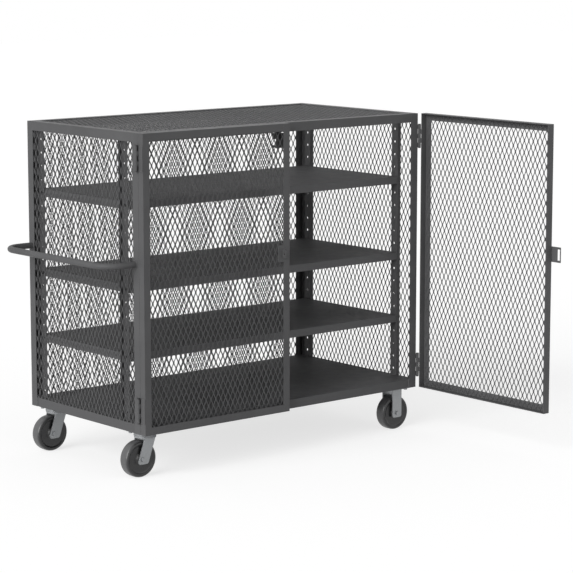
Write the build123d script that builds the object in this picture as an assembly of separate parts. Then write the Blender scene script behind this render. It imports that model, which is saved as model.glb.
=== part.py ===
from build123d import *
import math
import os

# A mesh-sided security cart: a welded angle frame with expanded metal on four
# sides and the top, three bolted shelves over a base deck, two mesh doors on
# the front, a push handle on the left end and four casters.
# X runs along the length towards the end without the handle, Y from the front
# to the rear, Z up. The origin is on the floor, below the middle of the whole
# part with its left door shut and its right door open at a right angle.

# Frame
frame_length = 1524.0
frame_depth = 778.0
body_height = 1220.0
caster_height = 190.5
angle_leg = 38.1
angle_wall = 3.2

# Base deck, shelves and the channels that carry the casters
deck_lip = 38.1
deck_wall = 3.2
shelf_lip = 32.0
shelf_wall = 2.7
shelf_end_gap = 0.4
shelf_bolt_holes = [4, 9, 15]
bolster_width = 124.0
bolster_wall = 4.0

# Slotted uprights behind the end meshes
upright_web = 38.0
upright_wall = 2.5
upright_standoff = 24.0
upright_front_inset = 102.0
upright_rear_inset = 48.0
upright_hole_radius = 5.0
upright_hole_pitch = 56.5
upright_hole_start = 72.0
upright_hole_margin = 20.0

# Expanded metal, drawn as one sheet with fewer and larger diamonds
mesh_sheet = 2.0
mesh_gap = 0.5
mesh_strand = 5.0
mesh_diamond_ratio = 2.0
mesh_most_gaps = 290

# Doors
door_gap = 3.0
door_clearance = 1.0
door_leg = 31.75
door_wall = 3.2
right_door_open_degrees = 90.0

# Hinges
hinge_offset = 10.0
hinge_height = 100.0
hinge_inset = 100.0
hinge_barrel_radius = 6.5
hinge_pin_radius = 4.0
hinge_pin_gap = 0.06
hinge_pin_head_radius = 6.0
hinge_pin_head = 3.0
hinge_leaf_width = 25.0
hinge_leaf_wall = 3.0
hinge_leaf_setback = 8.0
hinge_knuckle_gap = 0.6
hinge_knuckles = 5

# Hasp on the right door and staple on the left door
hasp_height_on_body = 677.0
hasp_height = 65.0
hasp_reach = 50.0
hasp_overlap_on_stile = 22.0
hasp_wall = 3.2
hasp_relief = 0.6
hasp_slot_width = 14.0
hasp_slot_height = 47.0
hasp_slot_bar = 4.0
staple_thickness = 6.0
staple_height = 36.0
staple_reach = 22.0
staple_eye_radius = 5.5
staple_eye_offset = 12.0
staple_plate_width = 30.0
staple_plate_height = 70.0

# Slide bolt at the top of the left door
slide_rod_radius = 8.0
slide_rod_gap = 0.4
slide_rod_tail = 1.0
slide_rod_collar = 5.0
slide_rod_collar_wall = 2.4
slide_travel = 28.0
slide_stop_gap = 0.5
slide_knob_radius = 5.0
slide_knob_length = 24.0
slide_bracket_height = 64.0
slide_bracket_width = 42.0
slide_bracket_wall = 4.0
slide_bracket_drop = 4.0
slide_guide_wall = 4.0
slide_guide_height = 24.0
slide_frame_gap = 3.0

# Push handle
handle_reach = 158.75
handle_tube_radius = 13.0
handle_tube_wall = 2.1
handle_bend_radius = 76.0
handle_inset = 23.5
handle_height_on_body = 693.5

# Casters
wheel_radius = 76.2
wheel_width = 50.8
wheel_edge_radius = 11.0
wheel_recess = 5.0
wheel_recess_inner_radius = 26.0
wheel_recess_outer_radius = 58.0
hub_width = 54.5
bushing_radius = 11.0
bushing_length = 56.0
axle_radius = 6.3
axle_gap = 0.05
axle_head_radius = 9.5
axle_head = 6.0
axle_thread_show = 4.0
fork_gap = 58.0
fork_wall = 5.0
fork_top_width = 54.0
fork_end_width = 54.0
fork_end_drop = 20.0
fork_end_corner = 11.0
plate_length = 114.0
plate_width = 102.0
plate_wall = 6.4
plate_bolt_spacing_x = 92.0
plate_bolt_spacing_y = 76.0
caster_bolt_radius = 5.0
caster_bolt_gap = 0.5
caster_nut_radius = 8.5
caster_nut = 7.0
raceway_radius = 45.5
raceway_height = 15.0
raceway_gap = 0.5
crown_radius = 44.0
crown_wall = 8.0
kingpin_radius = 8.0
kingpin_nut_radius = 12.0
kingpin_nut = 7.0
swivel_trail = 37.0
swivel_wheel_inset_x = 39.0
rigid_wheel_inset_x = 75.5
wheel_inset_y = 72.5

# Shelf bolts
shelf_bolt_radius = 4.0
shelf_bolt_hole_radius = 4.5
shelf_bolt_head_radius = 7.5
shelf_bolt_head = 5.0
shelf_bolt_tail = 2.0

cut_overrun = 5.0

# Places worked out from the sizes above
door_width = (frame_length - door_gap) / 2
door_depth = door_leg + door_clearance
reach_left = handle_reach
reach_right = hinge_offset + door_depth + hasp_wall
reach_front = hinge_offset + door_width + hasp_reach
overall_length = reach_left + frame_length + reach_right
overall_depth = reach_front + frame_depth
x_left = reach_left - overall_length / 2
x_right = x_left + frame_length
x_middle = (x_left + x_right) / 2
y_rear = overall_depth / 2
y_front = y_rear - frame_depth
y_middle = (y_front + y_rear) / 2
z_body = caster_height
z_top = z_body + body_height
z_deck = z_body + deck_lip
x_left_mesh = x_left + angle_wall + mesh_sheet
x_right_mesh = x_right - angle_wall - mesh_sheet
x_left_web = x_left + upright_standoff
x_right_web = x_right - upright_standoff
z_upright_top = z_top - angle_wall - mesh_sheet
y_web_front = y_front + upright_front_inset
y_web_rear = y_rear - upright_rear_inset
y_door_back = y_front - door_clearance
y_door_face = y_door_back - door_leg
z_axle = wheel_radius
z_plate_bottom = z_body - plate_wall
z_crown_top = z_plate_bottom - raceway_height - raceway_gap
z_crown_bottom = z_crown_top - crown_wall
wheel_rows = {"front": y_front + wheel_inset_y, "rear": y_rear - wheel_inset_y}
x_swivel = x_left + swivel_wheel_inset_x + swivel_trail
x_rigid = x_right - rigid_wheel_inset_x
hole_count = int((z_upright_top - z_body - upright_hole_start - upright_hole_margin) / upright_hole_pitch) + 1
hole_heights = [z_body + upright_hole_start + i * upright_hole_pitch for i in range(hole_count)]
shelf_bolt_heights = [hole_heights[i] for i in shelf_bolt_holes]
shelf_bolt_rows = [y_web_front + upright_web / 2, y_web_rear - upright_web / 2]
hinge_heights = [z_body + hinge_inset, z_top - hinge_inset]
left_pin = (x_left - hinge_offset, y_front)
right_pin = (x_right + hinge_offset, y_front)


def slab(x, y, z):
    """A box between two values on each axis."""
    size = [abs(b - a) for a, b in (x, y, z)]
    middle = [(a + b) / 2 for a, b in (x, y, z)]
    return Pos(*middle) * Box(*size)


def upright_cylinder(x, y, z, radius):
    """A cylinder along Z between two heights."""
    return Pos(x, y, (z[0] + z[1]) / 2) * Cylinder(radius, z[1] - z[0])


def rod_along_x(x, y, z, radius):
    """A cylinder along X between two values of x."""
    return Pos((x[0] + x[1]) / 2, y, z) * Rot(0, 90, 0) * Cylinder(radius, x[1] - x[0])


def rod_along_y(x, y, z, radius):
    """A cylinder along Y between two values of y."""
    return Pos(x, (y[0] + y[1]) / 2, z) * Rot(90, 0, 0) * Cylinder(radius, y[1] - y[0])


def hexagon_bar(length, radius):
    """A hexagonal bar along Z, centred on the origin."""
    return extrude(RegularPolygon(radius, 6), length / 2, both=True)


def mirror_left_to_right(shape):
    """The same shape on the other half of the cart."""
    return mirror(shape, Plane.YZ.offset(x_middle))


def swing(shape, pin, degrees):
    """A shape turned about a vertical hinge pin."""
    return Pos(pin[0], pin[1], 0) * Rot(0, 0, degrees) * Pos(-pin[0], -pin[1], 0) * shape


def corner_post():
    """An angle with its outer corner on the origin and its legs along +X and +Y."""
    z = (z_body, z_top - angle_wall)
    return slab((0, angle_leg), (0, angle_wall), z) + slab((0, angle_wall), (0, angle_leg), z)


def top_rail(run):
    """An angle along X with its outer face on y = 0, whose top leg is mitred at both ends."""
    half = run / 2
    outline = Polyline(
        (-half, 0),
        (half, 0),
        (half - angle_leg, angle_leg),
        (-half + angle_leg, angle_leg),
        close=True,
    )
    top = Pos(0, 0, z_top - angle_wall) * extrude(make_face(outline), angle_wall)
    side = slab((-half + angle_leg, half - angle_leg), (0, angle_wall), (z_top - angle_leg, z_top - angle_wall))
    return top + side


def pan(x, y, z_upper, lip, wall):
    """A sheet with its four edges turned down."""
    body = slab(x, y, (z_upper - lip, z_upper))
    hollow = slab(
        (x[0] + wall, x[1] - wall),
        (y[0] + wall, y[1] - wall),
        (z_upper - lip - cut_overrun, z_upper - wall),
    )
    return body - hollow


def mesh_panel(width, height):
    """A sheet in XY, centred on the origin, with rows of diamonds that are long along Y."""
    rows = int(math.sqrt(mesh_most_gaps * height / (2 * width * mesh_diamond_ratio)))
    columns = int(mesh_most_gaps / (2 * rows))
    pitch_x = width / columns
    pitch_y = height / rows
    half_x = pitch_x / 2
    half_y = pitch_y / 2
    to_edge = half_x * half_y / math.hypot(half_x, half_y)
    shrink = 1 - mesh_strand / 2 / to_edge
    places = [(i, j) for i in range(columns) for j in range(rows)]
    places += [(i + 0.5, j + 0.5) for i in range(columns - 1) for j in range(rows - 1)]
    holes = []
    for i, j in places:
        x = -width / 2 + half_x + i * pitch_x
        y = -height / 2 + half_y + j * pitch_y
        corners = [
            (x + half_x * shrink, y),
            (x, y + half_y * shrink),
            (x - half_x * shrink, y),
            (x, y - half_y * shrink),
        ]
        holes.append(Wire.make_polygon(corners, close=True))
    outline = Wire.make_rect(width, height)
    return extrude(Face(outline, holes), mesh_sheet / 2, both=True)


def end_mesh(x):
    """The panel behind the posts of one end."""
    depth = frame_depth - 2 * (angle_wall + mesh_gap)
    height = z_upright_top - z_deck
    return Pos(x, y_middle, (z_deck + z_upright_top) / 2) * Rot(0, 0, 90) * Rot(90, 0, 0) * mesh_panel(depth, height)


def rear_mesh():
    """The panel behind the rear posts, between the two end panels."""
    length = x_right_mesh - x_left_mesh - 2 * mesh_gap
    height = z_upright_top - z_deck
    y = y_rear - angle_wall - mesh_sheet / 2
    return Pos(x_middle, y, (z_deck + z_upright_top) / 2) * Rot(90, 0, 0) * mesh_panel(length, height)


def top_mesh():
    """The panel under the top rails, with its diamonds long across the cart."""
    length = frame_length - 2 * (angle_wall + mesh_gap)
    depth = frame_depth - 2 * (angle_wall + mesh_gap)
    z = z_top - angle_wall - mesh_sheet / 2
    return Pos(x_middle, y_middle, z) * mesh_panel(length, depth)


def slotted_upright(x_mesh, x_web, y, leg_at_rear):
    """An angle whose holed web stands off the end panel and whose leg reaches back to it."""
    inward = 1 if x_web > x_mesh else -1
    z = (z_deck, z_upright_top)
    web = slab((x_web - inward * upright_wall, x_web), (y, y + upright_web), z)
    y_leg = y + upright_web - upright_wall if leg_at_rear else y
    leg = slab((x_mesh, x_web), (y_leg, y_leg + upright_wall), z)
    holes = [
        rod_along_x(
            (min(x_mesh, x_web), max(x_mesh, x_web) + cut_overrun),
            y + upright_web / 2,
            height,
            upright_hole_radius,
        )
        for height in hole_heights
    ]
    return web + leg - holes


def shelf(bolt_height):
    """A pan between the uprights, with a bolt hole at each end of both end lips."""
    x = (x_left_web + shelf_end_gap, x_right_web - shelf_end_gap)
    y = (y_web_front, y_web_rear)
    body = pan(x, y, bolt_height + shelf_lip / 2, shelf_lip, shelf_wall)
    holes = [
        rod_along_x((x[0] - cut_overrun, x[1] + cut_overrun), row, bolt_height, shelf_bolt_hole_radius)
        for row in shelf_bolt_rows
    ]
    return body - holes


def shelf_bolt(inward):
    """A bolt along X whose shank starts at the outer side of the web, at x = 0."""
    grip = upright_wall + shelf_end_gap + shelf_wall
    shank_end = grip + shelf_bolt_head + shelf_bolt_tail
    head = Pos(-shelf_bolt_head / 2, 0, 0) * Rot(0, 90, 0) * hexagon_bar(shelf_bolt_head, shelf_bolt_head_radius)
    nut = Pos(grip + shelf_bolt_head / 2, 0, 0) * Rot(0, 90, 0)
    nut = nut * hexagon_bar(shelf_bolt_head, shelf_bolt_head_radius)
    bolt = head + nut + rod_along_x((-shelf_bolt_head / 2, shank_end), 0, 0, shelf_bolt_radius)
    return bolt if inward > 0 else Rot(0, 0, 180) * bolt


def shelf_bolts():
    """Four bolts for each shelf."""
    bolts = []
    for height in shelf_bolt_heights:
        for row in shelf_bolt_rows:
            bolts.append(Pos(x_left_web - upright_wall, row, height) * shelf_bolt(1))
            bolts.append(Pos(x_right_web + upright_wall, row, height) * shelf_bolt(-1))
    return bolts


def base_deck():
    """The deck pan inside the four posts."""
    x = (x_left + angle_wall, x_right - angle_wall)
    y = (y_front + angle_wall, y_rear - angle_wall)
    return pan(x, y, z_deck, deck_lip, deck_wall)


def caster_bolt_places(x):
    """The bolt centres of the two caster plates at one end."""
    return [
        (x + i * plate_bolt_spacing_x / 2, y + j * plate_bolt_spacing_y / 2)
        for y in wheel_rows.values()
        for i in (-1, 1)
        for j in (-1, 1)
    ]


def caster_bolster(x):
    """A channel across the underside of the deck, open upwards, over two casters."""
    half = bolster_width / 2
    y = (y_front + angle_wall + deck_wall, y_rear - angle_wall - deck_wall)
    z = (z_body, z_deck - deck_wall)
    channel = slab((x - half, x + half), y, z)
    inside = slab(
        (x - half + bolster_wall, x + half - bolster_wall),
        (y[0] - cut_overrun, y[1] + cut_overrun),
        (z_body + bolster_wall, z[1] + cut_overrun),
    )
    holes = [
        upright_cylinder(a, b, (z_body - cut_overrun, z_body + bolster_wall + cut_overrun), plate_hole_radius())
        for a, b in caster_bolt_places(x)
    ]
    return channel - inside - holes


def plate_hole_radius():
    """The radius of the holes for the caster bolts."""
    return caster_bolt_radius + caster_bolt_gap


def caster_bolts():
    """Bolts with their heads in the channels and their nuts under the caster plates."""
    bolts = []
    grip = bolster_wall + plate_wall
    for x in (x_swivel, x_rigid):
        for a, b in caster_bolt_places(x):
            head_bottom = z_body + bolster_wall
            nut_top = head_bottom - grip
            shank = upright_cylinder(a, b, (nut_top - caster_nut, head_bottom + caster_nut), caster_bolt_radius)
            head = Pos(a, b, head_bottom + caster_nut / 2) * hexagon_bar(caster_nut, caster_nut_radius)
            nut = Pos(a, b, nut_top - caster_nut / 2) * hexagon_bar(caster_nut, caster_nut_radius)
            bolts.append(shank + head + nut)
    return bolts


def caster_plate(x, y):
    """A rectangular top plate with its four bolt holes."""
    half_x = plate_length / 2
    half_y = plate_width / 2
    plate = slab((x - half_x, x + half_x), (y - half_y, y + half_y), (z_plate_bottom, z_body))
    holes = [
        upright_cylinder(a, b, (z_plate_bottom - cut_overrun, z_body + cut_overrun), plate_hole_radius())
        for a, b in caster_bolt_places(x)
        if abs(b - y) < half_y
    ]
    return plate - holes


def swivel_plate(x, y):
    """A top plate with its raceway, kingpin and kingpin nut."""
    raceway = upright_cylinder(x, y, (z_plate_bottom - raceway_height, z_plate_bottom), raceway_radius)
    z_nut_top = z_crown_bottom - raceway_gap
    kingpin = upright_cylinder(x, y, (z_nut_top - kingpin_nut, z_plate_bottom), kingpin_radius)
    nut = Pos(x, y, z_nut_top - kingpin_nut / 2) * hexagon_bar(kingpin_nut, kingpin_nut_radius)
    return caster_plate(x, y) + raceway + kingpin + nut


def fork_leg(x_top, x_axle, y, z_high):
    """One side plate of a fork, from the crown down to an end with rounded corners below the axle."""
    half_top = fork_top_width / 2
    half_end = fork_end_width / 2
    z_end = z_axle - fork_end_drop
    outline = Polyline(
        (x_top - half_top, z_high),
        (x_top + half_top, z_high),
        (x_axle + half_end, z_end),
        (x_axle - half_end, z_end),
        close=True,
    )
    side = make_face(outline)
    end_corners = side.vertices().filter_by(lambda v: v.Y < z_axle)
    side = fillet(end_corners, fork_end_corner)
    side = side - Pos(x_axle, z_axle) * Circle(axle_radius + axle_gap)
    plate = extrude(side, fork_wall / 2, both=True)
    return Pos(0, y, 0) * Rot(90, 0, 0) * plate


def fork_legs(x_top, x_axle, y, z_high):
    """The two side plates of one fork."""
    offset = (fork_gap + fork_wall) / 2
    return fork_leg(x_top, x_axle, y - offset, z_high) + fork_leg(x_top, x_axle, y + offset, z_high)


def swivel_fork(x, y):
    """A fork that turns under the raceway, raked back to its axle."""
    crown = upright_cylinder(x, y, (z_crown_bottom, z_crown_top), crown_radius)
    half = fork_top_width / 2
    width = fork_gap / 2 + fork_wall
    crown = crown + slab((x - half, x + half), (y - width, y + width), (z_crown_bottom, z_crown_top))
    fork = crown + fork_legs(x, x - swivel_trail, y, z_crown_bottom)
    return fork - upright_cylinder(x, y, (z_crown_bottom, z_crown_top), kingpin_radius + raceway_gap)


def rigid_fork(x, y):
    """A fixed fork: a top plate with two straight side plates."""
    return caster_plate(x, y) + fork_legs(x, x, y, z_plate_bottom)


def axle(x, y):
    """An axle bolt with its head in front and its nut behind."""
    outer = fork_gap / 2 + fork_wall
    head = Pos(x, y - outer - axle_head / 2, z_axle) * Rot(90, 0, 0) * hexagon_bar(axle_head, axle_head_radius)
    nut = Pos(x, y + outer + axle_head / 2, z_axle) * Rot(90, 0, 0) * hexagon_bar(axle_head, axle_head_radius)
    shank = rod_along_y(x, (y - outer - axle_head / 2, y + outer + axle_head + axle_thread_show), z_axle, axle_radius)
    return head + nut + shank


def wheel(x, y):
    """A solid wheel with rounded tread edges, a recessed web and a wider hub."""
    half = wheel_width / 2
    hub_half = hub_width / 2
    bore = bushing_radius + axle_gap
    web_half = half - wheel_recess
    outline = Polyline(
        (bore, -hub_half),
        (wheel_recess_inner_radius - wheel_recess, -hub_half),
        (wheel_recess_inner_radius, -web_half),
        (wheel_recess_outer_radius, -web_half),
        (wheel_recess_outer_radius + wheel_recess, -half),
        (wheel_radius, -half),
        (wheel_radius, half),
        (wheel_recess_outer_radius + wheel_recess, half),
        (wheel_recess_outer_radius, web_half),
        (wheel_recess_inner_radius, web_half),
        (wheel_recess_inner_radius - wheel_recess, hub_half),
        (bore, hub_half),
        close=True,
    )
    section = make_face(outline)
    tread_corners = section.vertices().filter_by(lambda v: v.X > wheel_radius - wheel_edge_radius)
    section = fillet(tread_corners, wheel_edge_radius)
    solid = revolve(section, Axis.Y, 360)
    return Pos(x, y, z_axle) * solid


def wheel_bushing(x, y):
    """The bearing tube in a wheel's hub, which turns on the axle."""
    y_span = (y - bushing_length / 2, y + bushing_length / 2)
    tube = rod_along_y(x, y_span, z_axle, bushing_radius)
    return tube - rod_along_y(x, y_span, z_axle, axle_radius + axle_gap)


def push_handle():
    """A bent tube between the two posts of the left end."""
    z = z_body + handle_height_on_body
    x_bar = x_left - handle_reach + handle_tube_radius
    ends = (y_front + handle_inset, y_rear - handle_inset)
    path = FilletPolyline(
        (x_left, ends[0], z),
        (x_bar, ends[0], z),
        (x_bar, ends[1], z),
        (x_left, ends[1], z),
        radius=handle_bend_radius,
    )
    ring = Circle(handle_tube_radius) - Circle(handle_tube_radius - handle_tube_wall)
    start = Plane(origin=(x_left, ends[0], z), x_dir=(0, 1, 0), z_dir=(-1, 0, 0))
    return sweep(start * ring, path=path)


def knuckle_spans(z_middle):
    """The heights of the knuckles of one hinge, from the lowest up."""
    step = hinge_height / hinge_knuckles
    low = z_middle - hinge_height / 2
    return [
        (low + i * step + hinge_knuckle_gap / 2, low + (i + 1) * step - hinge_knuckle_gap / 2)
        for i in range(hinge_knuckles)
    ]


def left_hinge_leaf(z_middle, on_door):
    """One leaf of a hinge at the left end: the door's in front of the pin, the frame's behind."""
    x_pin, y_pin = left_pin
    way = -1 if on_door else 1
    span = (z_middle - hinge_height / 2, z_middle + hinge_height / 2)
    y_near = y_pin + way * hinge_leaf_setback
    leaf = slab((x_left - hinge_leaf_wall, x_left), (y_near, y_near + way * hinge_leaf_width), span)
    for z in knuckle_spans(z_middle)[1 if on_door else 0 :: 2]:
        leaf += slab((x_pin, x_left), (y_pin + way * hinge_knuckle_gap, y_near), z)
        leaf += upright_cylinder(x_pin, y_pin, z, hinge_barrel_radius)
        leaf -= upright_cylinder(x_pin, y_pin, z, hinge_pin_radius + hinge_pin_gap)
    return leaf


def left_hinge_pin(z_middle):
    """A pin with a head at each end."""
    x_pin, y_pin = left_pin
    half = hinge_height / 2
    pin = upright_cylinder(x_pin, y_pin, (z_middle - half, z_middle + half), hinge_pin_radius)
    for way in (-1, 1):
        ends = sorted((z_middle + way * half, z_middle + way * (half + hinge_pin_head)))
        pin += upright_cylinder(x_pin, y_pin, ends, hinge_pin_head_radius)
    return pin


def left_door_pieces():
    """The four angles of the left door's frame, shut."""
    x = (x_left, x_left + door_width)
    y_inner = y_door_face + door_wall
    full = (z_body, z_top)
    inner_x = (x[0] + door_leg, x[1] - door_leg)
    return_x = (x[0] + door_wall, x[1] - door_wall)
    hinge_stile = slab((x[0], inner_x[0]), (y_door_face, y_inner), full)
    hinge_stile += slab((x[0], return_x[0]), (y_door_face, y_door_back), full)
    lock_stile = slab((inner_x[1], x[1]), (y_door_face, y_inner), full)
    lock_stile += slab((return_x[1], x[1]), (y_door_face, y_door_back), full)
    top_rail = slab(inner_x, (y_door_face, y_inner), (z_top - door_leg, z_top))
    top_rail += slab(return_x, (y_inner, y_door_back), (z_top - door_wall, z_top))
    bottom_rail = slab(inner_x, (y_door_face, y_inner), (z_body, z_body + door_leg))
    bottom_rail += slab(return_x, (y_inner, y_door_back), (z_body, z_body + door_wall))
    return {
        "hinge_stile": hinge_stile,
        "lock_stile": lock_stile,
        "top_rail": top_rail,
        "bottom_rail": bottom_rail,
    }


def left_door_mesh():
    """The left door's panel, behind the faces of its frame."""
    width = door_width - 2 * (door_wall + mesh_gap)
    height = body_height - 2 * (door_wall + mesh_gap)
    y = y_door_face + door_wall + mesh_sheet / 2
    middle = (x_left + door_width / 2, y, (z_body + z_top) / 2)
    return Pos(*middle) * Rot(90, 0, 0) * mesh_panel(width, height)


def hasp():
    """The shut right door's hasp: a plate on the lock stile that laps over the left door."""
    x_edge = x_middle + door_gap / 2
    z_middle = z_body + hasp_height_on_body
    z = (z_middle - hasp_height / 2, z_middle + hasp_height / 2)
    y_outer = y_door_face - hasp_wall
    plate = slab((x_edge, x_edge + hasp_overlap_on_stile), (y_outer, y_door_face), z)
    plate += slab((x_edge - hasp_reach, x_edge), (y_outer, y_door_face - hasp_relief), z)
    x_slot = x_edge - hasp_reach + hasp_slot_bar
    slot = slab(
        (x_slot, x_slot + hasp_slot_width),
        (y_outer - cut_overrun, y_door_face + cut_overrun),
        (z_middle - hasp_slot_height / 2, z_middle + hasp_slot_height / 2),
    )
    return plate - slot


def staple():
    """The left door's staple: a plate beside the lock stile with a padlock eye."""
    x_edge = x_left + door_width
    x_stile = x_edge - door_leg
    x_eye = x_middle + door_gap / 2 - hasp_reach + hasp_slot_bar + hasp_slot_width / 2
    z_middle = z_body + hasp_height_on_body
    half_plate = staple_plate_height / 2
    plate = slab(
        (x_stile - staple_plate_width, x_stile),
        (y_door_face, y_door_face + door_wall),
        (z_middle - half_plate, z_middle + half_plate),
    )
    half = staple_height / 2
    x_span = (x_eye - staple_thickness / 2, x_eye + staple_thickness / 2)
    corner = staple_height / 4
    ear = slab(x_span, (y_door_face - staple_reach, y_door_face), (z_middle - half, z_middle + half))
    outer_edges = ear.edges().filter_by(Axis.X).group_by(Axis.Y)[0]
    ear = fillet(outer_edges, corner)
    eye = rod_along_x(
        (x_span[0] - cut_overrun, x_span[1] + cut_overrun),
        y_door_face - staple_eye_offset,
        z_middle,
        staple_eye_radius,
    )
    return plate + ear - eye


def slide_axis():
    """The place of the slide bolt's rod when the left door is shut."""
    x = x_left + door_width - door_wall - slide_bracket_wall - slide_guide_width() / 2
    y = y_front + angle_wall + slide_frame_gap + slide_rod_radius
    return x, y


def slide_guide_width():
    """The width of the block that guides the slide bolt's rod."""
    return slide_bracket_width - slide_bracket_wall


def slide_bracket():
    """A plate on the inside of the lock stile with the guide block of the slide bolt at its top."""
    x, y = slide_axis()
    x_stile = x_left + door_width - door_wall
    z_high = z_top - angle_leg - slide_bracket_drop
    z = (z_high - slide_bracket_height, z_high)
    y_guide = (y - slide_rod_radius - slide_guide_wall / 2, y + slide_rod_radius + slide_guide_wall)
    y_start = y_door_face + door_wall + mesh_sheet + mesh_gap
    plate = slab((x_stile - slide_bracket_wall, x_stile), (y_start, y_guide[1]), z)
    z_guide = (z_high - slide_guide_height, z_high)
    guide = slab((x_stile - slide_bracket_wall - slide_guide_width(), x_stile), y_guide, z_guide)
    bore = upright_cylinder(x, y, (z[0] - cut_overrun, z[1] + cut_overrun), slide_rod_radius + slide_rod_gap)
    return plate + guide - bore


def slide_rod():
    """The slide bolt, drawn down: its collar rests on the guide block, and its knob stops it below."""
    x, y = slide_axis()
    z_guide = z_top - angle_leg - slide_bracket_drop
    z_collar = z_guide + slide_rod_collar
    z_knob = z_guide - slide_guide_height - slide_travel - slide_stop_gap - slide_knob_radius
    rod = upright_cylinder(x, y, (z_knob - slide_knob_radius - slide_rod_tail, z_collar), slide_rod_radius)
    rod += upright_cylinder(x, y, (z_guide, z_collar), slide_rod_radius + slide_rod_collar_wall)
    return rod + rod_along_y(x, (y, y + slide_rod_radius + slide_knob_length), z_knob, slide_knob_radius)


def open_right_door(shape):
    """A piece of the shut left door or right half, as it stands on the open right door."""
    return swing(shape, right_pin, right_door_open_degrees)


def save(name, shape):
    """Write one node, which may be a list of separate solids."""
    if isinstance(shape, list):
        shape = Compound(children=shape)
    export_step(shape, f"parts/{name}.step")


def build_cabinet():
    corners = {
        "front_left_post": (x_left, y_front, 0),
        "front_right_post": (x_right, y_front, 90),
        "rear_right_post": (x_right, y_rear, 180),
        "rear_left_post": (x_left, y_rear, 270),
    }
    for name, (x, y, turn) in corners.items():
        save(name, Pos(x, y, 0) * Rot(0, 0, turn) * corner_post())
    save("front_top_rail", Pos(x_middle, y_front, 0) * top_rail(frame_length))
    save("rear_top_rail", Pos(x_middle, y_rear, 0) * Rot(0, 0, 180) * top_rail(frame_length))
    save("left_top_rail", Pos(x_left, y_middle, 0) * Rot(0, 0, -90) * top_rail(frame_depth))
    save("right_top_rail", Pos(x_right, y_middle, 0) * Rot(0, 0, 90) * top_rail(frame_depth))
    save("left_end_mesh", end_mesh(x_left_mesh - mesh_sheet / 2))
    save("right_end_mesh", end_mesh(x_right_mesh + mesh_sheet / 2))
    save("rear_mesh", rear_mesh())
    save("top_mesh", top_mesh())
    save("base_deck", base_deck())
    save("caster_bolsters", [caster_bolster(x_swivel), caster_bolster(x_rigid)])
    y_rear_web = y_web_rear - upright_web
    save("front_left_upright", slotted_upright(x_left_mesh, x_left_web, y_web_front, True))
    save("rear_left_upright", slotted_upright(x_left_mesh, x_left_web, y_rear_web, True))
    save("front_right_upright", slotted_upright(x_right_mesh, x_right_web, y_web_front, False))
    save("rear_right_upright", slotted_upright(x_right_mesh, x_right_web, y_rear_web, False))
    for name, height in zip(("lower_shelf", "middle_shelf", "upper_shelf"), shelf_bolt_heights):
        save(name, shelf(height))
    save("shelf_bolts", shelf_bolts())
    save("push_handle", push_handle())


def build_doors():
    for name, piece in left_door_pieces().items():
        save(f"left_door_{name}", piece)
        save(f"right_door_{name}", open_right_door(mirror_left_to_right(piece)))
    save("left_door_mesh", left_door_mesh())
    save("right_door_mesh", open_right_door(mirror_left_to_right(left_door_mesh())))
    frame_leaves = [left_hinge_leaf(z, False) for z in hinge_heights]
    door_leaves = [left_hinge_leaf(z, True) for z in hinge_heights]
    pins = [left_hinge_pin(z) for z in hinge_heights]
    save("frame_hinge_leaves", frame_leaves + [mirror_left_to_right(leaf) for leaf in frame_leaves])
    save("hinge_pins", pins + [mirror_left_to_right(pin) for pin in pins])
    save("left_door_hinge_leaves", door_leaves)
    save("right_door_hinge_leaves", [open_right_door(mirror_left_to_right(leaf)) for leaf in door_leaves])
    save("left_door_staple", staple())
    save("right_door_hasp", open_right_door(hasp()))
    save("slide_bolt_bracket", slide_bracket())
    save("slide_bolt", slide_rod())


def build_casters():
    for row, y in wheel_rows.items():
        save(f"{row}_left_caster_plate", swivel_plate(x_swivel, y))
        save(f"{row}_left_fork", swivel_fork(x_swivel, y))
        save(f"{row}_right_fork", rigid_fork(x_rigid, y))
        save(f"{row}_left_axle", axle(x_swivel - swivel_trail, y))
        for side, x in (("left", x_swivel - swivel_trail), ("right", x_rigid)):
            save(f"{row}_{side}_wheel", wheel(x, y))
            save(f"{row}_{side}_bushing", wheel_bushing(x, y))
    save("right_axles", [axle(x_rigid, y) for y in wheel_rows.values()])
    save("caster_bolts", caster_bolts())


os.makedirs("parts", exist_ok=True)
build_cabinet()
build_doors()
build_casters()
print("frame", frame_length, "by", frame_depth, "overall", overall_length, "by", overall_depth, "by", z_top)
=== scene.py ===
# %% [markdown]
# # A mesh security cart
# A welded steel cart with expanded-metal sides, three shelves, two mesh doors
# and four casters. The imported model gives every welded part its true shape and
# place, in metres, so this lesson adds what solids leave out: the real diamond
# mesh, weld beads, moulded wheels, and finishes with the detail of real paint,
# zinc and plastic. Each step says what the thing is, and why it is made so.

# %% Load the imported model
import math

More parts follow.
